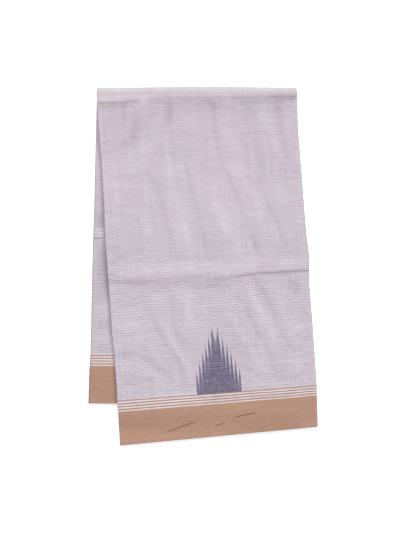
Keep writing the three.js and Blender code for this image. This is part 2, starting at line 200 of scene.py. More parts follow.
# Painted shade and painted light on the front flap: places where its colour is darkened where shade falls, as
# under the roll and below the crease, and lightened where light falls, without standing lower or higher
PAINTED_SHADES = (
    (9, -0.9, -91, 280, -5, 279, 81, 281, 160, 285), (6, 0.8, -190, 290, -102, 291),
    (4, 0.6, -110, 292, -40, 294, 30, 294), (7, 1.1, 37, 296, 46, 278), (6, 0.9, -99, 286, -97, 274),
    (6, 0.8, 54, 280, 92, 278), (12, -0.4, -148, 252, -126, 226), (9, -0.5, -122, 228, -112, 217),
    (14, -0.35, -178, 214, -156, 204), (9, -0.4, 58, 240, 67, 222), (11, -0.5, 96, 216, 124, 200),
    (10, -0.4, -113, 250, -110, 226), (7, -0.45, -95, 254, -93, 234), (8, -0.35, -84, 278, -84, 252),
    (9, -0.25, -34, 252, -36, 226), (7, -0.5, -2, 277, 0, 240), (7, -0.7, 18, 274, 30, 262),
    (12, -0.5, -91, 266, 160, 268), (4, -1.7, 116, 290, 184, 290),
    (17, -1.3, -124, 254, -113, 238, -116, 220), (11, -0.9, -130, 272, -140, 258, -148, 262),
    (8, -1.3, -57, 278, -58, 260, -64, 240), (7, -1, 14, 278, 16, 252, 20, 222),
    (8, -0.8, 74, 282, 80, 262), (8, -0.9, 127, 282, 132, 262), (13, -0.5, 120, 190, 140, 160, 155, 120),
    (14, -0.5, -160, 22, -130, 16), (12, 0.5, -46, 62, -38, 40), (14, 0.6, 32, 78, 52, 60),
    (7, -1, -181, 276, -157, 274, -136, 278, -121, 283), (6, -1.2, 115, 288, 160, 290),
    (3.5, -1.6, -160, -28, -129, -29, -91, -26), (6, -1.2, -109, -32, -84, -36, -60, -36),
    (9, -1, -53, -29, -5, -32, 53, -32), (4, -1.4, 57, -19, 94, -13, 124, -11, 149, -9, 179, -6),
    (9, 0.8, -146, -10, -74, -3, -5, -3, 81, 2, 167, 9), (12, -0.45, -143, -247, 195, -219),
    (15, -0.35, 60, -240, 195, -228), (16, 0.25, -141, -290, 196, -262),
    (18, -1.1, 160, -244, 194, -256, 230, -262), (7, -1, 66, -30, 100, -26, 141, -21, 158, -38),
    (7, 0.8, -116, 94, -97, 72, -88, 46), (9, 0.8, -150, 136, -147, 118, -148, 100),
    (4, 1.6, -63, -126, -58, -135, -50, -148), (5, 0.9, 108, -128, 113, -138, 118, -148),
    (7, -0.9, 150, -14, 154, -40, 166, -58), (7, 0.9, 46, 48, 58, 34, 70, 20),
    (9, 0.9, -8, -274, 20, -273, 50, -272), (6, 1, 40, 295, 48, 295, 56, 295),
    (6, 0.8, -98, 282, -90, 281, -82, 280), (5, -0.7, -142, -68, -128, -68, -114, -68),
    (7, -0.8, 156, -190, 166, -202, 180, -216), (6, -0.7, 70, -6, 100, 0, 132, 3),
    (6, -0.7, -152, -4, -143, -3, -132, -3), (6, -0.7, -12, -8, -2, -8, 10, -8),
    (5, -0.7, 148, -146, 156, -147, 166, -148), (5, -0.7, -154, -160, -134, -158, -112, -160),
    (5, -0.7, 28, 100, 31, 92, 35, 82),
)
# Where the cloth is painted a little redder (above 0) or bluer (below 0). The bluer places lie in the shade
# under the roll, in troughs and below the crease, and are painted shade colour
HUE_AND_SHADE_TINTS = (
    (9, 1.5, -163, -26, -95, -29, -20, -27, 25, -24), (6, 1.6, 25, -20, 60, -14, 95, -10, 183, -6),
    (7, 0.6, -150, -2, -60, 4, 60, 10, 160, 18), (16, -1.1, -182, 266, -91, 268, 20, 268, 161, 272),
    (24, -0.9, -124, 254, -113, 238, -150, 214), (14, -0.6, 20, 250, 28, 220),
    (16, -0.7, 150, -25, 158, -60, 160, -110), (14, -0.5, -160, 22, -128, 16),
    (12, -0.5, 60, -60, 95, -120), (12, 0.5, -150, -70, -130, -110),
)
# Painted shade colour: the strip of the rear flap made bluer in the shadow beside the front flap
REAR_SHADE_TINTS = (
    (11, -0.8, -182, 150, -177, 60, -172, -40), (6, -2.4, -171, 74, -167, 0, -162, -50, -158, -124),
    (10, -0.5, -178, -60, -170, -140),
)
# Troughs and ridges of the strip of the rear flap that shows, whose heights also paint shade into its colour,
# darker in troughs and lighter on ridges
REAR_FOLDS = (
    (6, 1, -184, -70, -169, -73), (14, -0.9, -182, 25, -174, -15, -172, -48),
    (5.5, -1, -172, 45, -169, 0, -165, -50, -163, -74), (4, 0.8, -188, 62, -178, 62),
    (6, -1, -186, -97, -164, -103), (5, 0.6, -188, -127, -164, -130), (6, -0.9, -188, -144, -160, -149),
    (5, 0.6, -182, 59, -170, 57), (8, -0.7, -182, 35, -170, 7, -174, -32), (5, 0.5, -186, 106, -176, 88),
    (8, -0.5, -182, 149, -176, 121), (5, 0.5, -188, -202, -170, -209),
)
# Painted shade and painted light on the strip of the rear flap that shows: its colour darkened in the shadow
# beside the front flap, and lightened where light falls, without standing lower or higher
REAR_PAINTED_SHADES = (
    (28, -1.2, -214, -205, -162, -205), (15, -0.45, -182, 80, -178, 20, -172, -60),
    (8, -1, -182, 114, -178, 62), (5, -1.3, -174, 108, -172, 62), (6, 0.9, -181, 205, -177, 125),
    (5, -1.1, -171, 60, -168, 0, -165, -50), (5, 0.6, -168, -20, -165, -60), (5, -1.3, -163, 4, -160, -56),
    (8, 0.8, -190, 52, -182, -8), (8, -0.9, -186, -34, -174, -62), (4, 1, -164, -56, -160, -86),
    (4, 0.9, -163, -108, -159, -160), (4, 0.7, -158, -122, -154, -166), (4, -1, -190, -64, -174, -66),
    (5, -0.7, -190, -102, -166, -106), (6, 1.2, -175, 60, -173, 34), (4.5, 1.3, -171, 12, -170, -24),
    (4.5, -0.8, -180, 76, -174, 72), (4.5, 0.7, -167, -64, -165, -82), (3, -1, -160, -80, -158, -112),
)

# How far folds and shades that cross may add up
SHADE_LIMIT = 2.0
SHADE_LIMIT_REAR = 3.4  # in the shadow beside the front flap

# Shallow hollows and the storage crease in the underside, which otherwise lies flat
UNDER_FOLDS = (
    (5, 0.4, -120, 200, -96, 120, -80, 70), (6, 0.35, -20, 230, -6, 150, 10, 90),
    (4.5, 0.4, 60, 210, 82, 130, 96, 75), (7, 0.3, 130, 240, 128, 170, 140, 110),
    (5, 0.4, -110, 20, -84, -40, -70, -95), (5, 0.35, -30, -20, -12, -80, -6, -130),
    (5.5, 0.4, 50, 10, 78, -50, 100, -110), (6, 0.3, -150, -100, -120, -112, -96, -140),
    (5, 0.3, 110, -120, 132, -138, 146, -130), (2.6, 0.45, -192, 46, -60, 45, 60, 46, 156, 45),
)
UNDER_HOLLOW = 0.45
NOISE_GAIN = 1.6


def smooth_step(low, high, value):
    t = np.clip((np.asarray(value, float) - low) / (high - low), 0, 1)
    return t * t * (3 - 2 * t)


def mix(a, b, share):
    return a * (1 - share) + b * share


def along_sections(table, column, weft):
    """A column of a section table at any place along the width, on a smooth curve through the rows."""
    places = np.array([row[0] for row in table], float)
    values = np.array([row[SECTION_COLUMNS.index(column)] for row in table], float)
    slopes = np.gradient(values, places, edge_order=1)
    slopes[1:-1] = (values[2:] - values[:-2]) / (places[2:] - places[:-2])
    k = np.clip(np.searchsorted(places, weft, side="right") - 1, 0, len(table) - 2)
    step = places[k + 1] - places[k]
    t = (weft - places[k]) / step
    h = t * t * (3 - 2 * t)
    bend = t * (1 - t) * (1 - t) * slopes[k] - t * t * (1 - t) * slopes[k + 1]
    return mix(values[k], values[k + 1], h) + step * bend


def edge_x(table, side, y):
    """The x of a flap's left or right edge at a given y."""
    column = SECTION_COLUMNS.index(side + "_x")
    rows = sorted(table, key=lambda row: row[column + 1])
    return np.interp(y, [row[column + 1] for row in rows], [row[column] for row in rows])


def fold_height(fold, x, y):
    """Height of one soft fold, fullest at its middle."""
    half, height, *numbers = fold
    points = list(zip(numbers[::2], numbers[1::2]))
    best = np.full(np.shape(x), np.inf)
    share = np.zeros(np.shape(x))
    for n, ((ax, ay), (bx, by)) in enumerate(zip(points, points[1:])):
        run, rise = bx - ax, by - ay
        t = np.clip(((x - ax) * run + (y - ay) * rise) / (run**2 + rise**2), 0, 1)
        away = np.hypot(x - ax - t * run, y - ay - t * rise)
        share = np.where(away < best, (n + t) / (len(points) - 1), share)
        best = np.minimum(best, away)
    fullness = mix(FOLD_END_FULLNESS, 1.0, np.sin(np.pi * share))
    return height * fullness * np.exp(-((best / half) ** 2))


def folds_height(folds_and_painted_shade, x, y):
    return sum(fold_height(fold, x, y) for fold in folds_and_painted_shade)


def crease_height(crest, flanks, x, y):
    places, *columns = zip(*crest)
    crest_y, height, below = (np.interp(x, places, column) for column in columns)
    crest_y = crest_y + CREST_WANDER * noise_across(x, 17.0, 3.3)
    height = height * (1 + CREST_UNEVEN * noise_across(x, 11.0, 7.7))
    above = y - crest_y
    upper = height * (1 - smooth_step(0, flanks["above"], above))
    fall = smooth_step(0, below, -above)
    back = smooth_step(below, below + flanks["recover"], -above)
    lower = height * (1 - fall) - flanks["dip"] * fall * (1 - back)
    return np.where(above >= 0, upper, lower)


def roll_height(x, y):
    proud = 2 * ROLL_RISE - 2 * FLAP
    places, crests, bottoms = zip(*ROLL_SLOPE)
    crest = np.interp(x, places, crests)
    bottom = np.interp(x, places, bottoms)
    t = np.clip((crest - y) / (crest - bottom), 0, 1)
    fall = (1 - (1 - t) ** ROLL_SLOPE_POWER) * smooth_step(0, ROLL_SLOPE_EASE, t)
    back = smooth_step(0, HOLLOW_RECOVER, bottom - y)
    return proud * (1 - fall) - HOLLOW_DEPTH * fall * (1 - back)


def front_relief(x, y):
    crease = crease_height(FRONT_CREST, FRONT_FLANKS, x, y)
    return crease + roll_height(x, y) + folds_height(FRONT_FOLDS, x, y)


def support_height(x, y):
    """What the front flap lies on: the rear flap, and past its edges the ground."""
    past_side = x - edge_x(REAR_SECTIONS, "right", y)
    past_hem = REAR_HEM_Y - y
    side = 1 - smooth_step(SIDE_LEDGE, SIDE_LEDGE + SIDE_FALL, past_side)
    hem = 1 - smooth_step(HEM_LEDGE, HEM_LEDGE + HEM_FALL, past_hem)
    return FLAP * side * hem


def rear_top_height(x, y):
    taper = HEM_TAPER * (1 - smooth_step(0, HEM_TAPER_LENGTH, y - REAR_HEM_Y))
    shown = smooth_step(*COVERED_FADE, edge_x(FRONT_SECTIONS, "left", y) - x)
    crease = shown * crease_height(REAR_CREST, REAR_FLANKS, x, y)
    return FLAP - SLIT - taper + crease + folds_height(REAR_FOLDS, x, y)


def on_flaps(front, rear, x, y, weft):
    """Sum of the front flap's marks or the rear flap's, kept within limits, and none on the roll."""
    on_front = np.clip(folds_height(front, x, y), -SHADE_LIMIT, SHADE_LIMIT)
    on_rear = np.clip(folds_height(rear, x, y), -SHADE_LIMIT_REAR, SHADE_LIMIT)
    return np.where(weft < ROLL_TOP, on_front, np.where(weft > ROLL_BOTTOM, on_rear, 0))


def painted_fold_shade(x, y, weft):
    """Painted shade: the summed heights of troughs, ridges and painted shades in millimetres, by which the
    colour is darkened in troughs and shades and lightened on ridges.
    """
    return on_flaps(FRONT_FOLDS + PAINTED_SHADES, REAR_FOLDS + REAR_PAINTED_SHADES, x, y, weft)


def hue_and_shade_tint(x, y, weft):
    """How much redder or bluer the cloth is painted; the bluer places are painted shade colour."""
    return on_flaps(HUE_AND_SHADE_TINTS, REAR_SHADE_TINTS, x, y, weft)


def under_hollow(x, y):
    return np.clip(folds_height(UNDER_FOLDS, x, y), 0, UNDER_HOLLOW)


def noise_field(a, b, scale_a, scale_b, seed):
    """Smooth random heights, about -1 to 1, over places on the cloth in millimetres."""
    flat = [
        noise.noise(Vector((p / scale_a, q / scale_b, seed)))
        for p, q in zip(np.ravel(a), np.ravel(b))
    ]
    return np.reshape(flat, np.shape(a)) * NOISE_GAIN


def noise_across(x, scale, seed):
    return noise_field(x, np.zeros(np.shape(x)), scale, 1.0, seed)


def noise_along(weft, scale, seed):
    return noise_field(np.zeros(np.shape(weft)), weft, 1.0, scale, seed)


def ripples(rows, path, weft):
    """Faint ripples in a sheet: each row's size across and along, noise seed and height."""
    return sum(noise_field(path, weft, *row[:3]) * row[3] for row in rows)


def cloth_points(across, weft, depth):
    """Places in millimetres for distances from the left edge, along the width, and shares of the depth."""
    across, weft, depth = np.broadcast_arrays(*(np.asarray(v, float) for v in (across, weft, depth)))
    on_front = weft <= ROLL_TOP
    on_roll = (weft > ROLL_TOP) & (weft < ROLL_BOTTOM)
    front_at = np.clip(weft, 0, ROLL_TOP)
    rear_at = np.clip(weft, ROLL_BOTTOM, SAREE_WIDTH)
    share = across / STRIP_WIDTH

    def plan(axis):
        pair = [
            np.where(
                on_front,
                along_sections(FRONT_SECTIONS, f"{side}_{axis}", front_at),
                along_sections(REAR_SECTIONS, f"{side}_{axis}", rear_at),
            )
            for side in ("left", "right")
        ]
        return mix(pair[0], pair[1], share)

    x, y = plan("x"), plan("y")
    angle = np.pi * (0.5 - (np.clip(weft, ROLL_TOP, ROLL_BOTTOM) - ROLL_TOP) / (ROLL_BOTTOM - ROLL_TOP))
    slit_z = FLAP - SLIT / 2
    crown = ROLL_CROWN * np.exp(-(((share - CROWN_PLACE) / CROWN_HALF) ** 2))
    reach = mix(ROLL_REACH + crown, SLIT / 2, depth)
    corner = CORNER_ROUND * np.cos(angle) ** 2 * np.clip(share, 0, 1) ** CORNER_SHARPNESS
    roll_x = x - corner
    roll_y = ROLL_Y + reach * np.cos(angle)
    roll_z = mix(
        ROLL_RISE + ROLL_RISE * np.sin(angle),
        slit_z + SLIT / 2 * np.sin(angle),
        depth,
    )
    support = support_height(x, y)
    front_top = support + FLAP + front_relief(x, y)
    rear_top = rear_top_height(x, y)
    z = np.where(on_front, mix(front_top, support, depth), mix(0.0, rear_top, depth))
    return np.stack(
        [np.where(on_roll, roll_x, x), np.where(on_roll, roll_y, y), np.where(on_roll, roll_z, z)],
        axis=-1,
    )


def spread(stops, steps):
    """Places from stop to stop, each stretch cut into equal parts no longer than its step."""
    places = [stops[0]]
    for start, end, step in zip(stops, stops[1:], steps):
        count = max(1, int(np.ceil(abs(end - start) / step)))
        places.extend(mix(start, end, k / count) for k in range(1, count + 1))
    return np.array(places, float)


CLOTH_ATTRIBUTES = ("painted_fold_shade", "hue_and_shade_tint")


def sheet_mesh(name, columns, rows, place):
    """A grid of cloth. place gives its points, their distances on the cloth, and the shade and tint painted
    into its colour.
    """
    bm = bmesh.new()
    bmesh.ops.create_grid(bm, x_segments=len(columns) - 1, y_segments=len(rows) - 1, size=0.5)
    mesh = bpy.data.meshes.new(name)
    bm.to_mesh(mesh)
    bm.free()
    flat = np.zeros(len(mesh.vertices) * 3)
    mesh.vertices.foreach_get("co", flat)
    grid = flat.reshape(-1, 3)
    i = np.rint((grid[:, 0] + 0.5) * (len(columns) - 1)).astype(int)
    j = np.rint((grid[:, 1] + 0.5) * (len(rows) - 1)).astype(int)
    points, cloth, *looks = place(columns[i], rows[j])
    mesh.vertices.foreach_set("co", (points * MM).ravel())
    corners = np.zeros(len(mesh.loops), int)
    mesh.loops.foreach_get("vertex_index", corners)
    layer = mesh.uv_layers.new(name="cloth")
    layer.data.foreach_set("uv", (cloth[corners] * MM).ravel())
    for n, attribute in enumerate(CLOTH_ATTRIBUTES):
        values = looks[n] if looks else np.zeros(len(grid))
        mesh.attributes.new(attribute, "FLOAT", "POINT").data.foreach_set("value", values)
    mesh.polygons.foreach_set("use_smooth", [True] * len(mesh.polygons))
    mesh.update()
    return mesh


def add_piece(name, meshes, thickness, material, nodes=()):
    """One cloth object from one or more grids, with its wall, its finish and the solids it stands for."""
    bm = bmesh.new()
    for mesh in meshes:
        bm.from_mesh(mesh)
        bpy.data.meshes.remove(mesh)
    joined = bpy.data.meshes.new(name)
    bm.to_mesh(joined)
    bm.free()
    piece = bpy.data.objects.new(name, joined)
    bpy.context.scene.collection.objects.link(piece)
    joined.materials.append(material)
    if thickness:
        wall = piece.modifiers.new("wall", "SOLIDIFY")
        wall.thickness = thickness
        wall.offset = -1
    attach(piece, "root")
    if nodes:
        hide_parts(*nodes)
    return piece


def shader_math(operation, turned_round=False):
    """A method that adds one Math node to what it is called on, and to a second value if it is given one."""

    def method(self, *others):
        values = (*others, self) if turned_round else (self, *others)
        return self.shader.node("ShaderNodeMath", {"operation": operation}, dict(enumerate(values)))

    return method


class Signal:
    """One output of a shader node. Arithmetic on it adds Math nodes."""

    def __init__(self, shader, socket):
        self.shader = shader
        self.socket = socket

    __add__ = __radd__ = shader_math("ADD")
    __sub__ = shader_math("SUBTRACT")
    __rsub__ = shader_math("SUBTRACT", turned_round=True)
    __mul__ = __rmul__ = shader_math("MULTIPLY")
    __truediv__ = shader_math("DIVIDE")
    __pow__ = shader_math("POWER")
    __abs__ = shader_math("ABSOLUTE")
    floor = shader_math("FLOOR")
    fraction = shader_math("FRACT")
    sine = shader_math("SINE")
    least = shader_math("MINIMUM")
    most = shader_math("MAXIMUM")

    def step(self, low, high):
        """0 at low, 1 at high, smooth between; low may be the larger."""
        return self.shader.node(
            "ShaderNodeMapRange",
            {"interpolation_type": "SMOOTHSTEP"},
            {"Value": self, "From Min": low, "From Max": high},
        )


class Shader:
    """A material's nodes, added by type, settings and socket values."""

    def __init__(self, name):
        self.material = bpy.data.materials.new(name)
        self.material.use_nodes = True
        self.tree = self.material.node_tree
        self.surface = self.tree.nodes["Principled BSDF"]

    def node(self, kind, settings=None, sockets=None, output=0):
        made = self.tree.nodes.new(kind)
        for key, value in (settings or {}).items():
            setattr(made, key, value)
        for key, value in (sockets or {}).items():
            self.feed(made.inputs[key], value)
        return Signal(self, made.outputs[output])

    def feed(self, socket, value):
        if isinstance(value, Signal):
            self.tree.links.new(value.socket, socket)
        elif isinstance(value, Color):
            socket.default_value = (*value, 1)
        else:
            socket.default_value = value

    def blend(self, first, second, factor, mode="MIX"):
        """Two colours mixed."""
        return self.node(
            "ShaderNodeMix",
            {"data_type": "RGBA", "blend_type": mode},
            {0: factor, 6: first, 7: second},
            output=2,
        )

    def noise(self, x, y, seed, detail=2.0, roughness=0.5):
        place = self.node("ShaderNodeCombineXYZ", None, {0: x, 1: y, 2: seed})
        return self.node(
            "ShaderNodeTexNoise",
            None,
            {"Vector": place, "Scale": 1.0, "Detail": detail, "Roughness": roughness},
        )

    def grain(self, kind, along, across):
        """Noise of one kind from the table of grains, over distances on the cloth."""
        scale_along, scale_across, *rest = GRAINS[kind]
        return self.noise(along * scale_along, across * scale_across, *rest)

    def set_surface(self, values):
        """Set or link the surface's own sockets."""
        for key, value in values.items():
            self.feed(self.surface.inputs[key], value)


def linear(colour):
    """A colour picked from the cloth as seen, turned into the one that light is worked out with."""
    return Color(colour).from_srgb_to_scene_linear()


def length(name, description, default):
    return FloatProperty(name=name, description=description, default=default, unit="LENGTH")


def yarn_colour(name, description, default):
    return FloatVectorProperty(
        name=name, description=description, default=default, subtype="COLOR_GAMMA", min=0, max=1
    )


class SareeSizes(bpy.types.PropertyGroup):
    """Sizes of the cloth's pattern and wall."""

    wall: length("Cloth wall", "Thickness of a sheet that shows", 0.0006)
    leaf_wall: length("Layer wall", "Thickness of the layers that show at the edges", 0.00036)
    band: length("Band width", "Plain brown band along each selvedge", 0.060)
    stripe_pitch: length("Stripe pitch", "From one white line of the border to the next", 0.00495)
    motif_centre: length("Temple motif place", "Its middle, from the left edge of the front flap", 0.1758)
    spike_pitch: length("Spike pitch", "From one spike of the temple motif to the next", 0.00635)
    motif_height: length("Temple motif height", "From the stripes to its two middle tips", 0.118)


class SareeColours(bpy.types.PropertyGroup):
    """Colours of the yarns, and of the shade painted in the band's creases."""

    field: yarn_colour("Field", "Lilac grey ground", (0.823, 0.784, 0.823))
    band: yarn_colour("Band", "Tan brown of the band", (0.757, 0.598, 0.517))
    white: yarn_colour("White lines", "Unbleached white of the border's lines", (0.965, 0.888, 0.853))
    thin_line: yarn_colour("Brown lines", "Mauve brown lines between the white ones", (0.655, 0.50, 0.472))
    # Painted shade: the dark brown along the band's creases
    crease_shade: yarn_colour("Pressed marks", "Dark brown in the band's sharp marks", (0.50, 0.33, 0.25))
    motif: yarn_colour("Temple motif", "Dark slate purple", (0.425, 0.395, 0.505))
    end: yarn_colour("Cut end", "Pale peach of the cloth's end threads", (0.86, 0.82, 0.80))


# Grain of the yarns and the dye: noise scales along and across, its seed, detail and roughness
GRAINS = {
    "motif_sway": (12.0, 14.0, 4.9, 1.0),
    "motif_feather": (1100.0, 45.0, 3.1, 3.0, 0.7),
    "motif_thread": (160.0, 600.0, 6.3, 2.0, 0.6),
    "motif_sides": (40.0, 900.0, 5.7, 2.0),
    "flecks": (330.0, 700.0, 8.8, 2.0, 0.7),
    "streaks": (520.0, 110.0, 13.3, 2.0, 0.6),
    "end_threads": (900.0, 12.0, 9.4, 2.0, 0.6),
    "line_wander": (18.0, 30.0, 1.3, 2.0),
    "line_dye": (70.0, 300.0, 15.2, 2.0),
    "rib_phase": (24.0, 40.0, 3.7, 2.0),
    "rib_dashes": (110.0, 180.0, 5.5, 2.0, 0.6),
    "purple": (30.0, 26.0, 12.6, 3.0, 0.6),
    "warmth": (22.0, 34.0, 17.4, 3.0, 0.6),
}

MOTIF_STEP = 0.107  # drop from one tip to the next, as a share of the motif's height
MOTIF_STEEPER = 0.0035  # how much larger that drop grows towards the sides
MIDDLE_NOTCH = 0.52  # depth of the notch between the two middle spikes, against the others
RIGHT_NOTCH = 0.32  # how much deeper the notches are on the right flank
INNER_NOTCH = 0.235
OUTER_NOTCH = 0.363
NOTCH_POWER = 0.85
RIGHT_FLANK = ((0.0, 0.01), (0.036, 0.026))  # from where to where it lies, right of the centre, in m
MIDDLE_GAP = 0.37  # half of the extra room between the two middle spikes, in spike pitches
MOTIF_LEAN = 0.007
MOTIF_HALF_WIDTH = 5.69  # in spike pitches, past half of that room
MOTIF_SWAY = 0.0016
FEATHER = 0.17  # raggedness of the spikes' edges along them, and row by row
THREAD = 0.09
SIDE_WOBBLE = 0.35
SIDE_SOFT = 0.09
STREAK = 0.45  # pale streaks that go on below the notches
STREAK_LENGTH = 0.27
STREAK_POWER = 2.5
MIDDLE_STREAK = 0.6
TIP_EDGE = (-0.03, 0.04)
MOTIF_FOOT = (-0.0006, 0.0006)


def temple_mask(shader, sizes, along, from_stripes):
    """The ikat temple motif: slender spikes that step down from the middle, with feathered edges."""
    sway = shader.grain("motif_sway", along, from_stripes) - 0.5
    lean = from_stripes * MOTIF_LEAN
    from_centre = along - sizes.motif_centre + lean + sway * MOTIF_SWAY
    offset = abs(from_centre) / sizes.spike_pitch - MIDDLE_GAP
    spike = offset.most(0.0).floor()
    within = offset - spike - 0.5
    middle = 1.0 - spike.least(1.0)
    inner_side = (within * -2.0).most(0.0)
    inner = inner_side * (1.0 - middle * (1.0 - MIDDLE_NOTCH))
    outer = (within * 2.0).most(0.0)
    right_flank = from_centre.step(*RIGHT_FLANK[0]) * from_centre.step(*RIGHT_FLANK[1])
    notch = inner**NOTCH_POWER * INNER_NOTCH + outer**NOTCH_POWER * OUTER_NOTCH
    notch = notch * (1.0 + right_flank * RIGHT_NOTCH)
    feather = shader.grain("motif_feather", along, from_stripes) - 0.5
    thread = shader.grain("motif_thread", along, from_stripes) - 0.5
    drop = spike * MOTIF_STEP + spike * spike * MOTIF_STEEPER
    top = 1.0 - drop - notch + feather * FEATHER + thread * THREAD
    below_top = top - from_stripes / sizes.motif_height
    inside = below_top.step(*TIP_EDGE)
    above_stripes = from_stripes.step(*MOTIF_FOOT)
    side_wobble = shader.grain("motif_sides", along, from_stripes) - 0.5
    wobbling = offset + side_wobble * SIDE_WOBBLE
    within_sides = wobbling.step(MOTIF_HALF_WIDTH + SIDE_SOFT, MOTIF_HALF_WIDTH - SIDE_SOFT)
    streak = (abs(within) * 2.0).least(1.0) ** STREAK_POWER * below_top.step(STREAK_LENGTH, 0.0)
    streak = streak * (1.0 - middle * inner_side.least(1.0) * MIDDLE_STREAK)
    return inside * above_stripes * within_sides * (1.0 - streak * STREAK)


# Thin creases in the front band, each a shallow groove with painted shade along it: two ends by distance
# along and from the selvedge, and half width, in m
BAND_MARKS = (
    (0.0745, 0.0145, 0.1345, 0.0310, 0.0016),
    (0.1624, 0.0185, 0.1850, 0.0240, 0.0015),
    (0.1945, 0.0325, 0.2400, 0.0382, 0.0018),
)
MARK_STARTS = (0.0, 0.25)
MARK_STOPS = (1.0, 0.85)
MARK_EDGE = (1.0, 0.15)
MARK_DEPTH = 1.6


def pressed_mark(along, weft, mark):
    """1 on the line of a thin crease, 0 away from it, tapered to both ends."""
    x, y, end_x, end_y, half = mark
    run, rise = end_x - x, end_y - y
    length = (run * run + rise * rise) ** 0.5
    share = ((along - x) * run + (weft - y) * rise) / length**2
    away = abs((weft - y) * run - (along - x) * rise) / length
    ends = share.step(*MARK_STARTS) * share.step(*MARK_STOPS)
    return (away / half).step(*MARK_EDGE) * ends


TURN = 2 * np.pi
RIB_PITCH = 0.0041  # bands of thicker weft
YARN_PITCH = 0.00062
# Uneven yarns and dye: noise scales along and across, its seed, detail and roughness, and how far it shows in
# the tone and in the relief of the threads
UNEVEN = (
    (62.0, 520.0, 2.2, 3.0, 0.62, 0.36, 0.9),  # slubs
    (14.0, 300.0, 7.9, 2.0, 0.55, 0.16, 0.7),  # long slubs
    (420.0, 14.0, 4.4, 3.0, 0.6, 0.16, 0.45),  # warp threads
    (95.0, 3.0, 2.9, 2.0, 0.5, 0.14, 0.0),  # bands of warp
    (16.0, 22.0, 6.6, 4.0, 0.6, 0.16, 0.0),  # mottle
)
PURPLE = 0.03  # strength of the purple and the warm mottle
WARMTH = 0.018
LOWER_MOTTLE = 0.5  # how much stronger they are in the lower half
LOWER_HALF = (0.44, 0.26)
LOWER_DARKER = 0.035
RIB_DEPTHS = (0.04, 0.13, 0.12)  # everywhere, more in the lower half, and more in the motif
RIB_WANDER = 9.0
RIB_RELIEF, YARN_RELIEF = 0.35, 0.25
DASH_EDGE = (0.34, 0.66)
# How much the painted shade darkens or lightens the colour, for each millimetre of trough or ridge
PAINTED_SHADE_STRENGTH = 0.085
BAND_CALM = 0.66  # how much plainer the band is than the field
MOTIF_DYE = 0.98  # strength of the motif's dye
DYE_LOSSES = (0.22, 0.1, 0.24)  # what flecks, rows of flecks and streaks take off it
FLECK_EDGE = (0.5, 0.68)
STREAK_EDGE = (0.5, 0.75)
END_ZONE = ((0.0275, 0.0245), (0.572, 0.582), (0.640, 0.628))  # along and across, where the cut end is pale
END_STRENGTH = (0.12, 0.22)  # everywhere there, and more in single threads
END_EDGE = (0.42, 0.62)
# How strongly shade is painted along the band's creases
CREASE_SHADE_STRENGTH = 0.75
# Painted light: where the roll's top, which faces the light, is made less blue and a little greener
LIT_ROLL_ZONE = ((0.588, 0.597), (0.640, 0.620))
# How far each cause turns the cloth's red, green and blue
HUE_TURNS = {
    "purple": (1.0, -1.0, 1.0),
    "warmth": (1.0, 0.0, -1.0),
    "lower_half": (-0.012, 0.008, 0.0),
    "warm": (0.018, -0.010, 0.0),
    # bluer where shade is painted
    "shaded_blue": (0.0, -0.005, 0.014),
    # painted light on the roll's top
    "roll": (0.0, 0.007, -0.017),
    # redder and bluer in the painted shade of troughs
    "folds_and_painted_shade": (-0.006, 0.0, -0.01),
}
# The border's lines, in stripe pitches from the band
STRIPE_START = 0.32
WHITE_PLACE, WHITE_EDGE = 0.73, (0.31, 0.19)
BROWN_PLACE, BROWN_EDGE = 0.25, (0.28, 0.15)
LAST_WHITE = (4.24, 4.12)
FAINT_WHITE, FAINT_STRENGTH = (4.75, 4.6), 0.4
FIRST_WHITE = (-0.08, 0.0)
FIRST_BROWN = (0.3, 0.5)
BAND_EDGE = (0.26, 0.12)
LINE_WANDER = 0.0011
LINE_UNEVEN = 0.12
LINE_DYE, LINE_DYE_UNEVEN = 0.54, 0.45
BAND_LIGHTER = (1.05, 1.06, 1.07)
BAND_DARKER = (0.95, 0.94, 0.93)
BAND_SLUBS, BAND_MOTTLE = 1.5, 0.3


def striped_ground(shader, sizes, colours, along, weft, slubs, mottle):
    """The lilac ground with its border's lines and band, and a mask of the band."""
    from_selvedge = weft.least(SAREE_WIDTH * MM - weft)
    wander = (shader.grain("line_wander", along, weft) - 0.5) * LINE_WANDER
    line = (from_selvedge - sizes.band + wander) / sizes.stripe_pitch
    cycle = (line + STRIPE_START + slubs * LINE_UNEVEN).fraction()
    yarn_dye = shader.grain("line_dye", along, weft) * LINE_DYE_UNEVEN + LINE_DYE
    white_line = abs(cycle - WHITE_PLACE).step(*WHITE_EDGE) * line.step(*FIRST_WHITE)
    before_last = line.step(*LAST_WHITE)
    white_line = white_line * (before_last + line.step(*FAINT_WHITE) * FAINT_STRENGTH).least(1.0)
    brown_line = abs(cycle - BROWN_PLACE).step(*BROWN_EDGE) * line.step(*FIRST_BROWN) * before_last
    in_band = line.step(*BAND_EDGE)

    band = linear(colours.band)
    band_dark, band_light = (
        Color([part * gain for part, gain in zip(band, gains)]) for gains in (BAND_DARKER, BAND_LIGHTER)
    )
    band_shade = (slubs * BAND_SLUBS + mottle * BAND_MOTTLE + 0.5).step(0.0, 1.0)
    band_yarn = shader.blend(band_dark, band_light, band_shade)
    colour = shader.blend(linear(colours.field), linear(colours.white), white_line * yarn_dye)
    colour = shader.blend(colour, linear(colours.thin_line), brown_line * yarn_dye)
    return shader.blend(colour, band_yarn, in_band), in_band


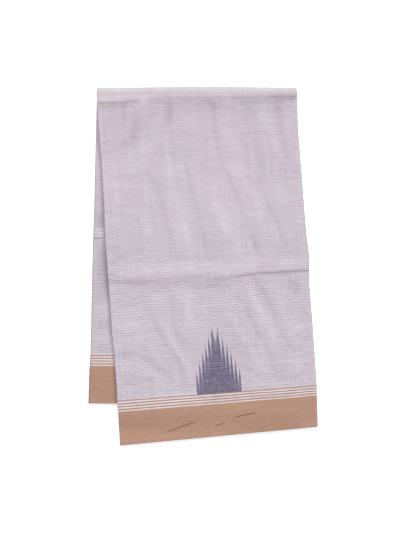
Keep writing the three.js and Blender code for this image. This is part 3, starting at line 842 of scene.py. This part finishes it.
def cloth_material(name, with_motif):
    """Handwoven cotton: lilac ground, striped border, brown band, and the temple motif on the outer sheet."""
    sizes = bpy.context.scene.saree_sizes
    colours = bpy.context.scene.saree_colours
    shader = Shader(name)
    cloth_map = shader.node("ShaderNodeUVMap", {"uv_map": "cloth"})
    place = shader.node("ShaderNodeSeparateXYZ", None, {0: cloth_map})
    along, weft = (Signal(shader, place.socket.node.outputs[axis]) for axis in (0, 1))
    # The painted shade of troughs, ridges and shades, and the painted tint, read from the cloth's attributes
    folds_and_painted_shade, tint = (
        shader.node("ShaderNodeAttribute", {"attribute_name": attribute}, output="Fac")
        for attribute in CLOTH_ATTRIBUTES
    )
    from_selvedge = weft.least(SAREE_WIDTH * MM - weft)
    lower_half = from_selvedge.step(*LOWER_HALF)

    uneven = [shader.noise(along * row[0], weft * row[1], *row[2:5]) - 0.5 for row in UNEVEN]
    slubs, mottle = uneven[0], uneven[-1]
    phase = shader.grain("rib_phase", along, weft) * RIB_WANDER
    ribs = (weft * (TURN / RIB_PITCH) + phase).sine()
    dashes = shader.grain("rib_dashes", along, weft).step(*DASH_EDGE)
    rib_depth = RIB_DEPTHS[0] + lower_half * RIB_DEPTHS[1]
    colour, in_band = striped_ground(shader, sizes, colours, along, weft, slubs, mottle)

    relief = 0.0
    if with_motif:
        motif = temple_mask(shader, sizes, along, from_selvedge - sizes.band - sizes.stripe_pitch * 4.0)
        flecks = shader.grain("flecks", along, weft).step(*FLECK_EDGE)
        fleck_rows = (ribs * 0.5 + 0.5) * dashes
        streaks = shader.grain("streaks", along, weft).step(*STREAK_EDGE)
        dye = MOTIF_DYE - flecks * DYE_LOSSES[0] - fleck_rows * DYE_LOSSES[1] - streaks * DYE_LOSSES[2]
        colour = shader.blend(colour, linear(colours.motif), motif * dye)
        rib_depth = rib_depth + motif * RIB_DEPTHS[2]
        end_threads = shader.grain("end_threads", along, weft).step(*END_EDGE)
        end_zone = along.step(*END_ZONE[0]) * weft.step(*END_ZONE[1]) * weft.step(*END_ZONE[2])
        end_share = end_threads * END_STRENGTH[1] + END_STRENGTH[0]
        colour = shader.blend(colour, linear(colours.end), end_zone * end_share)
        marks = sum((pressed_mark(along, weft, mark) for mark in BAND_MARKS), 0.0)
        # Painted shade along the band's creases, which also get a shallow groove in the bump
        colour = shader.blend(colour, linear(colours.crease_shade), marks * CREASE_SHADE_STRENGTH)
        relief = marks * -MARK_DEPTH

    weave = ribs * dashes * rib_depth + sum((yarn * row[5] for yarn, row in zip(uneven, UNEVEN)), 0.0)
    # Weave and uneven yarns vary the colour; the painted shade of troughs, ridges and shades darkens and
    # lightens it; and it is darker in the lower half
    shade = 1.0 + weave * (1.0 - in_band * BAND_CALM) + folds_and_painted_shade * PAINTED_SHADE_STRENGTH - lower_half * LOWER_DARKER
    stronger = lower_half * LOWER_MOTTLE + 1.0
    causes = {
        "purple": (shader.grain("purple", along, weft) - 0.5) * PURPLE * stronger,
        "warmth": (shader.grain("warmth", along, weft) - 0.5) * WARMTH * stronger,
        "lower_half": lower_half,
        "warm": tint.most(0.0),
        "shaded_blue": (tint * -1.0).most(0.0),
        "roll": weft.step(*LIT_ROLL_ZONE[0]) * weft.step(*LIT_ROLL_ZONE[1]),
        "folds_and_painted_shade": folds_and_painted_shade,
    }
    channels = {}
    for channel in range(3):
        turns = (causes[key] * turn[channel] for key, turn in HUE_TURNS.items() if turn[channel])
        channels[channel] = shade * sum(turns, 1.0)
    colour = shader.blend(colour, shader.node("ShaderNodeCombineColor", None, channels), 1.0, "MULTIPLY")

    yarns = (along * (TURN / YARN_PITCH)).sine() * (weft * (TURN / YARN_PITCH)).sine()
    height = yarns * YARN_RELIEF + ribs * dashes * RIB_RELIEF + relief
    height = sum((yarn * row[6] for yarn, row in zip(uneven, UNEVEN) if row[6]), height)
    bump = shader.node("ShaderNodeBump", None, {"Strength": 0.55, "Distance": 0.00035, "Height": height})
    shader.set_surface(
        {
            "Base Color": colour,
            "Roughness": 0.9 - slubs * 0.1,
            "Normal": bump,
            "Sheen Weight": 0.08,
            "Sheen Roughness": 0.5,
            "Specular IOR Level": 0.25,
        }
    )
    return shader.material


# The right edge, where the outer sheet wraps the flap
WRAP_REACH = 3.6
WRAP_STEPS = 9
WRAP_LEG = 26.0
WRAP_FLAT = STRIP_WIDTH - WRAP_REACH
WRAP_ARC = np.pi * WRAP_REACH * 0.9
# The left edge, where the innermost sheet turns up to the flap's middle
TURN_REACH = 2.0
TURN_STEPS = 7
TURN_LEG = 18.0
TURN_START = WRAP_FLAT - WRAP_LEG + 1.0
TURN_FLAT = TURN_START - TURN_REACH
TURN_ARC = np.pi * TURN_REACH
TURN_BACK = 0.9  # how far it lies in from the outer sheet's left edge
TURN_WANDER = 0.7
TURN_FADE = 60
# Ripples: size across and along, noise seed and height
OUTER_RIPPLES = ((34.0, 8.0, 11.0, 0.16), (60.0, 26.0, 23.0, 0.22))
INNER_RIPPLES = ((30.0, 8.0, 13.0, 0.14),)
CALM_EDGE = 6
CALM_TURN = 8
CALM_HEM = 5
EDGE_WANDER = 0.5
EDGE_FADE = 10
HOLLOW_START = 12
# Painted shade in the underside's hollows, for each millimetre of hollow
HOLLOW_PAINTED_SHADE = -2
# Stops across and along each sheet, and the longest step from one stop to the next
OUTER_COLUMNS = (
    (0, 6, WRAP_FLAT - 6, WRAP_FLAT, WRAP_FLAT + WRAP_ARC, WRAP_FLAT + WRAP_ARC + WRAP_LEG),
    (1.5, 3.3, 2, WRAP_ARC / WRAP_STEPS, 9),
)
OUTER_ROWS = (
    (0, 6, 266, 300, 566, ROLL_TOP, ROLL_BOTTOM, ROLL_BOTTOM + 30, SAREE_WIDTH - 12, SAREE_WIDTH),
    (1.5, 3.3, 1.1, 3.3, 1.2, 1.9, 5, 11, 3),
)
INNER_COLUMNS = (
    (0, TURN_FLAT - TURN_FADE, TURN_FLAT, TURN_FLAT + TURN_ARC, TURN_FLAT + TURN_ARC + TURN_LEG),
    (11, 3.6, TURN_ARC / TURN_STEPS, 9),
)
INNER_ROWS = (
    (3, ROLL_TOP, ROLL_BOTTOM, 868, 888, SAREE_WIDTH - 7, SAREE_WIDTH - 0.2),
    (8, 3, 3.4, 1.1, 3.4, 1.5),
)


def turned(path, flat, arc):
    """A way over a flat stretch and round a turn: how far on the flat, the turn's angle, and how far past."""
    turn = np.clip((path - flat) / arc, 0, 1) * np.pi
    return np.minimum(path, flat), turn, np.clip(path - flat - arc, 0, None)


def outer_place(path, weft):
    """The outer sheet: across its face, round the right edge and in along the inner face."""
    on_flat, turn, past = turned(path, WRAP_FLAT, WRAP_ARC)
    across = on_flat + WRAP_REACH * np.sin(turn) - past
    points = cloth_points(across, weft, (1 - np.cos(turn)) / 2)
    calm = smooth_step(0, CALM_EDGE, path) * (1 - smooth_step(WRAP_FLAT - CALM_TURN, WRAP_FLAT, path))
    calm = calm * (weft < ROLL_BOTTOM) * smooth_step(0, CALM_HEM, weft)
    points[..., 2] += ripples(OUTER_RIPPLES, path, weft) * calm
    edge = noise_along(weft, 30.0, 31.0) * EDGE_WANDER
    points[..., 0] += edge * (1 - smooth_step(0, EDGE_FADE, path)) * (weft < ROLL_TOP)
    on_face = path <= WRAP_FLAT
    x, y = points[..., 0], points[..., 1]
    under = on_face * smooth_step(ROLL_BOTTOM, ROLL_BOTTOM + HOLLOW_START, weft)
    hollow = under_hollow(x, y) * under
    points[..., 2] += hollow
    # Painted shade: on the flaps their troughs, ridges and shades, on the underside its hollows
    painted_shade = np.where(weft < ROLL_BOTTOM, painted_fold_shade(x, y, weft) * on_face, hollow * HOLLOW_PAINTED_SHADE)
    return points, np.stack([path, weft], axis=-1), painted_shade, hue_and_shade_tint(x, y, weft) * on_face


def innermost_place(path, weft):
    """The innermost sheet: from the end of the outer sheet's leg to the left, and up to the flap's middle."""
    on_flat, turn, past = turned(path, TURN_FLAT, TURN_ARC)
    wander = TURN_BACK + noise_along(weft, 70.0, 41.0) * TURN_WANDER
    left = 1 - smooth_step(0, TURN_FADE, TURN_START - on_flat)
    across = TURN_START - on_flat - TURN_REACH * np.sin(turn) + past + wander * left
    points = cloth_points(across, weft, 1 - (1 - np.cos(turn)) / 4)
    on_rear = weft > ROLL_BOTTOM
    calm = smooth_step(0, CALM_EDGE, TURN_FLAT - path) * on_rear
    calm = calm * (1 - smooth_step(SAREE_WIDTH - CALM_HEM, SAREE_WIDTH, weft))
    points[..., 2] += ripples(INNER_RIPPLES, path, weft) * calm
    along = STRIP_WIDTH + WRAP_REACH * np.pi + WRAP_LEG + path
    x, y = points[..., 0], points[..., 1]
    # The shade and tint painted into the colour of the strip of the rear flap
    looks = (look(x, y, weft) * on_rear for look in (painted_fold_shade, hue_and_shade_tint))
    return points, np.stack([along, weft], axis=-1), *looks


class SAREE_OT_outer_cloth(bpy.types.Operator):
    """Lay the outer sheet: front flap, roll and underside, wrapped round the right edge"""

    bl_idname = "saree.outer_cloth"
    bl_label = "Outer sheet"

    def execute(self, context):
        mesh = sheet_mesh("outer_cloth", spread(*OUTER_COLUMNS), spread(*OUTER_ROWS), outer_place)
        piece = add_piece(
            "outer_cloth",
            [mesh],
            context.scene.saree_sizes.wall,
            cloth_material("outer_cotton", True),
            ("front_border", "front_field", "top_fold", "underside_field", "underside_border"),
        )
        return {"FINISHED"}


class SAREE_OT_innermost_cloth(bpy.types.Operator):
    """Lay the innermost sheet, which shows on the rear flap"""

    bl_idname = "saree.innermost_cloth"
    bl_label = "Innermost sheet"

    def execute(self, context):
        mesh = sheet_mesh("innermost_cloth", spread(*INNER_COLUMNS), spread(*INNER_ROWS), innermost_place)
        piece = add_piece(
            "innermost_cloth",
            [mesh],
            context.scene.saree_sizes.wall,
            cloth_material("inner_cotton", False),
            ("front_inner_border", "front_inner_field", "rear_field", "rear_border"),
        )
        return {"FINISHED"}


LAYERS = 16
CORE_INSET = 9.0
CORE_DEPTHS = (0.22, 0.78)
CREASED = (240.0, 310.0)  # stretch of the width with the front storage crease, which has closer rows
HIDDEN_PLACE = 700  # where the hidden layers lie on the cloth
LAYER_SPACING = 40


def core_place(path, weft):
    """The solid middle of the fold: a flat tube in each section."""
    width = STRIP_WIDTH - 2 * CORE_INSET
    top, bottom = CORE_DEPTHS
    around = np.mod(path, 2)
    across = CORE_INSET + width * np.where(around <= 1, around, 2 - around)
    depth = np.where(around <= 1, top, bottom)
    return cloth_points(across, weft, depth), np.stack([across + HIDDEN_PLACE, weft], axis=-1)


# Groups of layers at the left edge: first and last depth share, mean set back, its wander, and noise seed
LEFT_LEAVES = (
    (0.12, 0.12, 1.3, 0.8, 51.0),
    (0.16, 0.24, 0.9, 0.6, 52.0),
    (0.27, 0.36, 2.4, 0.7, 53.0),
    (0.38, 0.475, 1.7, 0.7, 54.0),
)
LEAF_REACH = 22.0
LEAF_BULGE = 1.4
# The layers' selvedges at the hems: set back, its wander and step from layer to layer, and their two ends
HEM_BACK = 2.0
HEM_WANDER = 1.2
HEM_STAGGER = 0.5
HEM_LEFT = 3.0
HEM_RIGHT = 0.7
HEM_REACH = 24
CORE_COLUMNS = ((0, 2), (0.016,))  # once round the tube
CORE_ROWS = ((CORE_INSET, *CREASED, ROLL_TOP, ROLL_BOTTOM, SAREE_WIDTH - CORE_INSET), (8, 2.5, 8, 3, 8))
LEAF_STEP = 3.7
LEAF_TURN_STEPS = 5
LEAF_ROWS = ((3, *CREASED, ROLL_TOP, ROLL_BOTTOM, SAREE_WIDTH - 3), (3.6, 2.5, 4, 3, 7))
HEM_COLUMNS = ((0, STRIP_WIDTH), (7,))
HEM_ROWS = ((0, 4, HEM_REACH), (2, 10))


def leaf_arc(leaf):
    """Radius and length of a folded leaf's turn."""
    radius = (leaf[1] - leaf[0]) * FLAP / 2
    return radius, np.pi * max(radius, 0.01)


def leaf_place(leaf):
    first, last, back, wander, seed = leaf
    radius, arc = leaf_arc(leaf)

    def place(path, weft):
        """One folded pair of layers at the left edge: in, round and out."""
        on_flat, turn, past = turned(path, LEAF_REACH, arc)
        edge = back + wander * noise_along(weft, 45.0, seed)
        across = edge + LEAF_REACH - on_flat + past + radius * LEAF_BULGE * (1 - np.sin(turn))
        points = cloth_points(across, weft, mix(first, last, (1 - np.cos(turn)) / 2))
        return points, np.stack([HIDDEN_PLACE + LAYER_SPACING * seed + path, weft], axis=-1)

    return place


def hem_place(layer, at_front):
    seed = 60.0 + layer + (20 if at_front else 0)

    def place(path, inward):
        """One layer's selvedge at a hem, a little in from the sheets that cover it."""
        back = HEM_BACK + HEM_WANDER * noise_across(path, 90.0, seed) + HEM_STAGGER * (layer % 3)
        from_middle = 2 * (layer + 0.5) / LAYERS - 1
        right_end = STRIP_WIDTH - HEM_RIGHT - WRAP_REACH * (1 - np.sqrt(1 - from_middle**2))
        across = mix(HEM_LEFT, right_end, path / STRIP_WIDTH)
        from_hem = inward + back
        weft = from_hem if at_front else SAREE_WIDTH - from_hem
        points = cloth_points(across, weft, (layer + 0.5) / LAYERS)
        return points, np.stack([HIDDEN_PLACE + LAYER_SPACING * seed + path, weft], axis=-1)

    return place


class SAREE_OT_folded_layers(bpy.types.Operator):
    """Fill the fold with its hidden layers, and lay the leaves that show at the left edge and the hems"""

    bl_idname = "saree.folded_layers"
    bl_label = "Folded layers"

    def execute(self, context):
        material = cloth_material("layer_cotton", False)
        tube = sheet_mesh("core", spread(*CORE_COLUMNS), spread(*CORE_ROWS), core_place)
        bm = bmesh.new()
        bm.from_mesh(tube)
        bmesh.ops.remove_doubles(bm, verts=bm.verts, dist=1e-6)
        bmesh.ops.holes_fill(bm, edges=bm.edges, sides=0)
        bmesh.ops.recalc_face_normals(bm, faces=bm.faces)
        bm.to_mesh(tube)
        bm.free()
        core = add_piece("folded_layers_core", [tube], 0, material, ("folded_layers",))
        leaves = []
        for leaf in LEFT_LEAVES:
            radius, arc = leaf_arc(leaf)
            stops = (0, LEAF_REACH, LEAF_REACH + arc, 2 * LEAF_REACH + arc)
            steps = (LEAF_STEP, arc / LEAF_TURN_STEPS, LEAF_STEP)
            path = spread(stops, steps) if radius else spread(stops[:2], steps[:1])
            leaves.append(sheet_mesh("leaf", path, spread(*LEAF_ROWS), leaf_place(leaf)))
        wall = context.scene.saree_sizes.leaf_wall
        edge = add_piece("left_edge_layers", leaves, wall, material)
        hem_leaves = [
            sheet_mesh("hem_leaf", spread(*HEM_COLUMNS), spread(*HEM_ROWS), hem_place(layer, at_front))
            for layer in range(1, LAYERS - 1)
            for at_front in (True, False)
        ]
        hems = add_piece("hem_layers", hem_leaves, wall, material)
        return {"FINISHED"}


PIXEL = 1.72 * MM  # size of the photograph's pixel on the cloth
VIEW_HEIGHT = 533 * PIXEL
CAMERA_HEIGHT = 3.2
CLOTH_HEIGHT = 0.012  # at which that pixel size holds
SENSOR = 36.0
VIEW_CENTRE = (-5.3 * MM, -0.3 * MM)
WINDOW = {"color": (1.0, 1.0, 0.965), "energy": 2.28, "angle": 0.8}
WINDOW_FROM = (0.25, 1.0, 1.0)
ROOM_COLOUR = (0.985, 0.96, 1, 1)
ROOM_STRENGTH = 0.5
FLOOR_HALF = 6
FLOOR_DROP = 0.0002


class SAREE_OT_stage(bpy.types.Operator):
    """Set the pale floor, the soft lights and the camera straight above"""

    bl_idname = "saree.stage"
    bl_label = "Studio stage"

    def execute(self, context):
        scene = context.scene
        bm = bmesh.new()
        bmesh.ops.create_grid(bm, x_segments=8, y_segments=8, size=FLOOR_HALF)
        bmesh.ops.translate(bm, verts=bm.verts, vec=(0, 0, -FLOOR_DROP))
        mesh = bpy.data.meshes.new("floor")
        bm.to_mesh(mesh)
        bm.free()
        floor = bpy.data.objects.new("floor", mesh)
        scene.collection.objects.link(floor)
        floor.visible_diffuse = False
        shader = Shader("pale_floor")
        white = Color((1, 1, 1))
        shader.set_surface(
            {
                "Base Color": white,
                "Roughness": 0.9,
                "Specular IOR Level": 0.1,
                "Emission Color": white,
                "Emission Strength": 0.5,
            }
        )
        mesh.materials.append(shader.material)

        world = bpy.data.worlds.new("studio")
        world.use_nodes = True
        room = world.node_tree.nodes["Background"]
        room.inputs["Color"].default_value = ROOM_COLOUR
        room.inputs["Strength"].default_value = ROOM_STRENGTH
        scene.world = world
        data = bpy.data.lights.new("window", "SUN")
        for key, value in WINDOW.items():
            setattr(data, key, value)
        window = bpy.data.objects.new("window", data)
        window.rotation_euler = Vector(WINDOW_FROM).to_track_quat("Z", "Y").to_euler()
        scene.collection.objects.link(window)
        scene.view_settings.view_transform = "Standard"

        lens = bpy.data.cameras.new("camera")
        lens.sensor_width = SENSOR
        lens.lens = SENSOR * CAMERA_HEIGHT / VIEW_HEIGHT
        lens.clip_end = 50
        camera = bpy.data.objects.new("camera", lens)
        camera.location = (*VIEW_CENTRE, CAMERA_HEIGHT + CLOTH_HEIGHT)
        scene.collection.objects.link(camera)
        scene.camera = camera
        return {"FINISHED"}


class SAREE_PT_panel(bpy.types.Panel):
    """Shows the saree's sizes and colours, and the buttons that lay its pieces"""

    bl_label = "Folded saree"
    bl_idname = "SAREE_PT_panel"
    bl_space_type = "VIEW_3D"
    bl_region_type = "UI"
    bl_category = "Saree"

    def draw(self, context):
        for group in (context.scene.saree_sizes, context.scene.saree_colours):
            for key in group.bl_rna.properties.keys():
                if key not in ("rna_type", "name"):
                    self.layout.prop(group, key)
        for operator in OPERATORS:
            self.layout.operator(operator.bl_idname)


OPERATORS = (
    SAREE_OT_outer_cloth,
    SAREE_OT_innermost_cloth,
    SAREE_OT_folded_layers,
    SAREE_OT_stage,
)
CLASSES = (SareeSizes, SareeColours, *OPERATORS, SAREE_PT_panel)


def register():
    for cls in CLASSES:
        bpy.utils.register_class(cls)
    bpy.types.Scene.saree_sizes = PointerProperty(type=SareeSizes)
    bpy.types.Scene.saree_colours = PointerProperty(type=SareeColours)


def unregister():
    del bpy.types.Scene.saree_colours
    del bpy.types.Scene.saree_sizes
    for cls in reversed(CLASSES):
        bpy.utils.unregister_class(cls)


def main():
    register()
    bpy.ops.saree.outer_cloth()
    bpy.ops.saree.innermost_cloth()
    bpy.ops.saree.folded_layers()
    bpy.ops.saree.stage()


if __name__ == "__main__":
    main()
